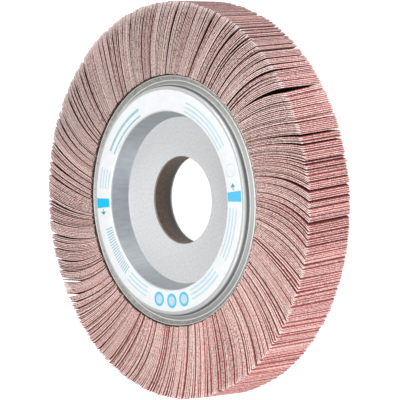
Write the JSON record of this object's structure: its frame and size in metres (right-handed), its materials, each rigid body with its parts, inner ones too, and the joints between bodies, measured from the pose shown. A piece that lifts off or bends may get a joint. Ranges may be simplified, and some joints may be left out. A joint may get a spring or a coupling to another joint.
{
  "type": "flap wheel",
  "caption": "Abrasive flap wheel with a fan of cloth strips held by two dished steel flanges round a plain bore.",
  "frame": {"origin": "centre of the bore, in the middle plane of the wheel", "axes": "+Z along the bore, out of the labelled side; +X at three o'clock on the label; the wheel lies on its rear side"},
  "size_m": [0.2, 0.2, 0.0325],
  "materials": {
    "flange_steel": "zinc-plated deep-drawn sheet, dull",
    "core_resin": "cast brown resin",
    "label_paper": "coated white paper with blue print",
    "abrasive_cloth": "resin-bonded red-brown grit on cotton cloth"
  },
  "bodies": {
    "root": {"front_flange": "flange_steel", "rear_flange": "flange_steel", "core_ring": "core_resin", "paper_label": "label_paper", "flap_group_01": "abrasive_cloth", "flap_group_02": "abrasive_cloth", "flap_group_03": "abrasive_cloth", "flap_group_04": "abrasive_cloth", "flap_group_05": "abrasive_cloth", "flap_group_06": "abrasive_cloth", "flap_group_07": "abrasive_cloth", "flap_group_08": "abrasive_cloth", "flap_group_09": "abrasive_cloth", "flap_group_10": "abrasive_cloth", "flap_group_11": "abrasive_cloth", "flap_group_12": "abrasive_cloth", "flap_group_13": "abrasive_cloth", "flap_group_14": "abrasive_cloth", "flap_group_15": "abrasive_cloth", "flap_group_16": "abrasive_cloth", "flap_group_17": "abrasive_cloth", "flap_group_18": "abrasive_cloth", "flap_group_19": "abrasive_cloth", "flap_group_20": "abrasive_cloth", "flap_group_21": "abrasive_cloth", "flap_group_22": "abrasive_cloth", "flap_group_23": "abrasive_cloth", "flap_group_24": "abrasive_cloth", "flap_group_25": "abrasive_cloth", "flap_group_26": "abrasive_cloth", "flap_group_27": "abrasive_cloth", "flap_group_28": "abrasive_cloth", "flap_group_29": "abrasive_cloth", "flap_group_30": "abrasive_cloth", "flap_group_31": "abrasive_cloth", "flap_group_32": "abrasive_cloth", "flap_group_33": "abrasive_cloth", "flap_group_34": "abrasive_cloth", "flap_group_35": "abrasive_cloth", "flap_group_36": "abrasive_cloth", "flap_group_37": "abrasive_cloth", "flap_group_38": "abrasive_cloth", "flap_group_39": "abrasive_cloth", "flap_group_40": "abrasive_cloth", "flap_group_41": "abrasive_cloth", "flap_group_42": "abrasive_cloth", "flap_group_43": "abrasive_cloth", "flap_group_44": "abrasive_cloth", "flap_group_45": "abrasive_cloth", "flap_group_46": "abrasive_cloth", "flap_group_47": "abrasive_cloth", "flap_group_48": "abrasive_cloth", "flap_group_49": "abrasive_cloth", "flap_group_50": "abrasive_cloth", "flap_group_51": "abrasive_cloth", "flap_group_52": "abrasive_cloth", "flap_group_53": "abrasive_cloth"}
  },
  "joints": []
}
